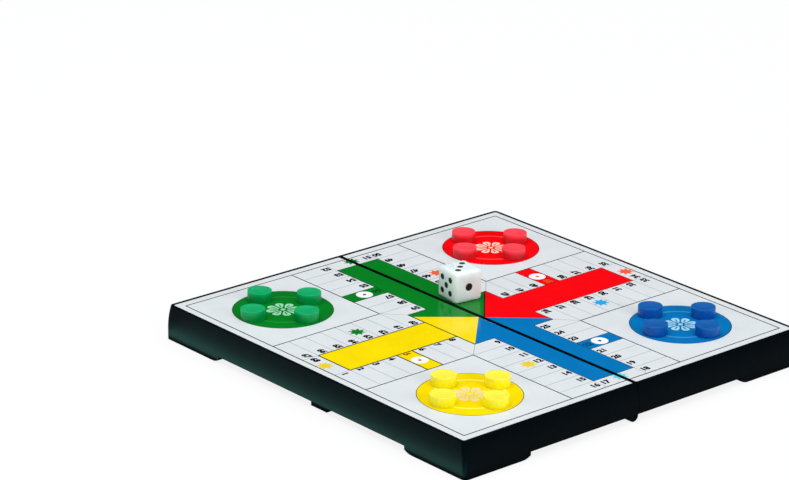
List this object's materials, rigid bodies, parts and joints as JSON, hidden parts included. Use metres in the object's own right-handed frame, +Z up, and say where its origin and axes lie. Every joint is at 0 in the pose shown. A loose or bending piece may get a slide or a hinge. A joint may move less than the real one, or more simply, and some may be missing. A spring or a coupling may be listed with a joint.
{
  "type": "folding ludo board box",
  "caption": "Square two-part travel ludo board that folds on linked hinges into a flat box, with magnetic disc tokens and a pipped die.",
  "frame": {"origin": "on the standing surface, under the middle of the seam between the two halves", "axes": "+X across the seam towards the right half, +Y along the seam to the back, +Z up"},
  "size_m": [0.1616, 0.1642, 0.0255],
  "materials": {
    "case_plastic": "satin",
    "steel": "plain",
    "playing_print": "printed",
    "magnet": "plated",
    "green_token_plastic": "gloss",
    "red_token_plastic": "gloss",
    "yellow_token_plastic": "gloss",
    "blue_token_plastic": "gloss",
    "die_plastic": "gloss"
  },
  "bodies": {
    "left_half": {"left_case": "case_plastic", "left_steel_sheet": "steel", "left_print_sheet": "playing_print", "hinge_pin_left_front": "steel", "hinge_pin_left_back": "steel", "catch_magnet_left": "magnet"},
    "hinge_links": {"hinge_link_front": "case_plastic", "hinge_link_back": "case_plastic"},
    "right_half": {"right_case": "case_plastic", "right_steel_sheet": "steel", "right_print_sheet": "playing_print", "hinge_pin_right_front": "steel", "hinge_pin_right_back": "steel", "catch_magnet_right": "magnet"},
    "token_green_1": {"token_green_1": "green_token_plastic", "token_magnet_green_1": "magnet"},
    "token_green_2": {"token_green_2": "green_token_plastic", "token_magnet_green_2": "magnet"},
    "token_green_3": {"token_green_3": "green_token_plastic", "token_magnet_green_3": "magnet"},
    "token_green_4": {"token_green_4": "green_token_plastic", "token_magnet_green_4": "magnet"},
    "token_red_1": {"token_red_1": "red_token_plastic", "token_magnet_red_1": "magnet"},
    "token_red_2": {"token_red_2": "red_token_plastic", "token_magnet_red_2": "magnet"},
    "token_red_3": {"token_red_3": "red_token_plastic", "token_magnet_red_3": "magnet"},
    "token_red_4": {"token_red_4": "red_token_plastic", "token_magnet_red_4": "magnet"},
    "token_yellow_1": {"token_yellow_1": "yellow_token_plastic", "token_magnet_yellow_1": "magnet"},
    "token_yellow_2": {"token_yellow_2": "yellow_token_plastic", "token_magnet_yellow_2": "magnet"},
    "token_yellow_3": {"token_yellow_3": "yellow_token_plastic", "token_magnet_yellow_3": "magnet"},
    "token_yellow_4": {"token_yellow_4": "yellow_token_plastic", "token_magnet_yellow_4": "magnet"},
    "token_blue_1": {"token_blue_1": "blue_token_plastic", "token_magnet_blue_1": "magnet"},
    "token_blue_2": {"token_blue_2": "blue_token_plastic", "token_magnet_blue_2": "magnet"},
    "token_blue_3": {"token_blue_3": "blue_token_plastic", "token_magnet_blue_3": "magnet"},
    "token_blue_4": {"token_blue_4": "blue_token_plastic", "token_magnet_blue_4": "magnet"},
    "die": {"die": "die_plastic"}
  },
  "joints": [
    {"name": "link_fold", "type": "hinge", "parent": "left_half", "child": "hinge_links", "pos_m": [-0.0022, 0, 0.00217], "axis": [0, 1, 0], "range_deg": [0, 90]},
    {"name": "board_fold", "type": "hinge", "parent": "hinge_links", "child": "right_half", "pos_m": [0.0022, 0, 0.00217], "axis": [0, 1, 0], "range_deg": [0, 90]},
    {"name": "token_green_1_lift", "type": "slide", "parent": "left_half", "child": "token_green_1", "axis": [0, 0, 1], "range_m": [0, 0.025]},
    {"name": "token_green_2_lift", "type": "slide", "parent": "left_half", "child": "token_green_2", "axis": [0, 0, 1], "range_m": [0, 0.025]},
    {"name": "token_green_3_lift", "type": "slide", "parent": "left_half", "child": "token_green_3", "axis": [0, 0, 1], "range_m": [0, 0.025]},
    {"name": "token_green_4_lift", "type": "slide", "parent": "left_half", "child": "token_green_4", "axis": [0, 0, 1], "range_m": [0, 0.025]},
    {"name": "token_red_1_lift", "type": "slide", "parent": "right_half", "child": "token_red_1", "axis": [0, 0, 1], "range_m": [0, 0.025]},
    {"name": "token_red_2_lift", "type": "slide", "parent": "right_half", "child": "token_red_2", "axis": [0, 0, 1], "range_m": [0, 0.025]},
    {"name": "token_red_3_lift", "type": "slide", "parent": "right_half", "child": "token_red_3", "axis": [0, 0, 1], "range_m": [0, 0.025]},
    {"name": "token_red_4_lift", "type": "slide", "parent": "right_half", "child": "token_red_4", "axis": [0, 0, 1], "range_m": [0, 0.025]},
    {"name": "token_yellow_1_lift", "type": "slide", "parent": "left_half", "child": "token_yellow_1", "axis": [0, 0, 1], "range_m": [0, 0.025]},
    {"name": "token_yellow_2_lift", "type": "slide", "parent": "left_half", "child": "token_yellow_2", "axis": [0, 0, 1], "range_m": [0, 0.025]},
    {"name": "token_yellow_3_lift", "type": "slide", "parent": "left_half", "child": "token_yellow_3", "axis": [0, 0, 1], "range_m": [0, 0.025]},
    {"name": "token_yellow_4_lift", "type": "slide", "parent": "left_half", "child": "token_yellow_4", "axis": [0, 0, 1], "range_m": [0, 0.025]},
    {"name": "token_blue_1_lift", "type": "slide", "parent": "right_half", "child": "token_blue_1", "axis": [0, 0, 1], "range_m": [0, 0.025]},
    {"name": "token_blue_2_lift", "type": "slide", "parent": "right_half", "child": "token_blue_2", "axis": [0, 0, 1], "range_m": [0, 0.025]},
    {"name": "token_blue_3_lift", "type": "slide", "parent": "right_half", "child": "token_blue_3", "axis": [0, 0, 1], "range_m": [0, 0.025]},
    {"name": "token_blue_4_lift", "type": "slide", "parent": "right_half", "child": "token_blue_4", "axis": [0, 0, 1], "range_m": [0, 0.025]},
    {"name": "die_lift", "type": "slide", "parent": "right_half", "child": "die", "axis": [0, 0, 1], "range_m": [0, 0.04]}
  ],
  "couplings": [
    {"joint": "board_fold", "follows": "link_fold", "ratio": 1}
  ]
}
